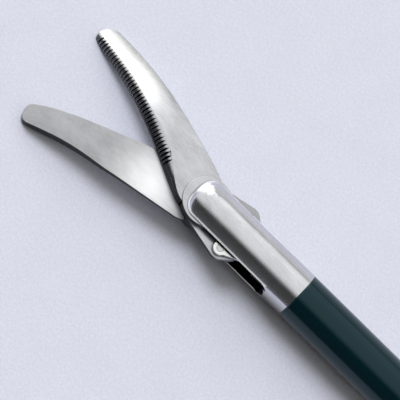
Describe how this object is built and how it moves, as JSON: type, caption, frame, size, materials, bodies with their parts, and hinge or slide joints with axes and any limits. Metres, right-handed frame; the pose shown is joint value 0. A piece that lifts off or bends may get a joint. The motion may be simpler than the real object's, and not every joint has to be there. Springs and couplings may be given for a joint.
{
  "type": "laparoscopic scissors",
  "caption": "Long thin insulated shaft with a slotted steel clevis, curved double-action blades with one serrated edge, a rotation knob, a connector post and a ring handle.",
  "frame": {"origin": "on the shaft's axis, where the insulated shaft leaves the rotation knob's nose cap", "axes": "+X along the shaft to the blades; +Y up when the handle is held, away from the rings; +Z up as the instrument lies on its side, across the plane in which the blades open"},
  "size_m": [0.4298, 0.1093, 0.0214],
  "materials": {
    "insulation": "glossy dark teal",
    "steel": "fine turned",
    "clevis_steel": "polished, brushed along the length",
    "blade_steel": "satin ground",
    "handle_plastic": "fine matt",
    "knob_plastic": "satin",
    "seal_rubber": "matt",
    "contact_brass": "machined"
  },
  "bodies": {
    "handle": {"handle_shell_left": "handle_plastic", "handle_shell_right": "handle_plastic", "shell_screws": "steel", "lever_screw": "steel", "lever_nut": "steel", "contact_block": "contact_brass", "connector_post": "steel"},
    "lever": {"thumb_lever": "handle_plastic", "drive_fork": "steel", "fork_pin": "steel"},
    "shaft": {"rotation_knob": "knob_plastic", "knob_nose_cap": "handle_plastic", "tube_collar": "steel", "grub_screws": "steel", "rod_seal": "seal_rubber", "seal_cap": "handle_plastic", "insulation_sleeve": "insulation", "outer_tube": "steel", "clevis": "clevis_steel", "pivot_pin": "steel"},
    "rod": {"pull_rod": "steel", "rod_ball": "steel", "rod_pin": "steel"},
    "upper_blade": {"upper_blade": "blade_steel", "upper_link_pin": "steel"},
    "lower_blade": {"lower_blade": "blade_steel", "lower_link_pin": "steel"},
    "upper_link": {"upper_link": "steel"},
    "lower_link": {"lower_link": "steel"}
  },
  "joints": [
    {"name": "lever_hinge", "type": "hinge", "parent": "handle", "child": "lever", "pos_m": [-0.056, -0.0042, 0], "axis": [0, 0, 1], "range_deg": [-2.1, 14.4]},
    {"name": "shaft_turn", "type": "hinge", "parent": "handle", "child": "shaft", "pos_m": [-0.025, 0, 0], "axis": [1, 0, 0], "continuous": true},
    {"name": "rod_slide", "type": "slide", "parent": "shaft", "child": "rod", "axis": [1, 0, 0], "range_m": [-0.0011, 0.0002]},
    {"name": "upper_blade_hinge", "type": "hinge", "parent": "shaft", "child": "upper_blade", "pos_m": [0.3122, 0, 0], "axis": [0, 0, 1], "range_deg": [-2.6, 17]},
    {"name": "lower_blade_hinge", "type": "hinge", "parent": "shaft", "child": "lower_blade", "pos_m": [0.3122, 0, 0], "axis": [0, 0, -1], "range_deg": [-2.6, 17]},
    {"name": "upper_link_hinge", "type": "hinge", "parent": "upper_blade", "child": "upper_link", "pos_m": [0.3083, 0.00245, 0], "axis": [0, 0, 1], "range_deg": [-31.6, 4.8]},
    {"name": "lower_link_hinge", "type": "hinge", "parent": "lower_blade", "child": "lower_link", "pos_m": [0.3083, -0.00245, 0], "axis": [0, 0, -1], "range_deg": [-31.6, 4.8]}
  ],
  "couplings": [
    {"joint": "rod_slide", "follows": "lever_hinge", "m_per_rad": -0.0042},
    {"joint": "upper_blade_hinge", "follows": "lever_hinge", "ratio": 1.164},
    {"joint": "lower_blade_hinge", "follows": "lever_hinge", "ratio": 1.164},
    {"joint": "upper_link_hinge", "follows": "lever_hinge", "ratio": -2.1703},
    {"joint": "lower_link_hinge", "follows": "lever_hinge", "ratio": -2.1703}
  ]
}
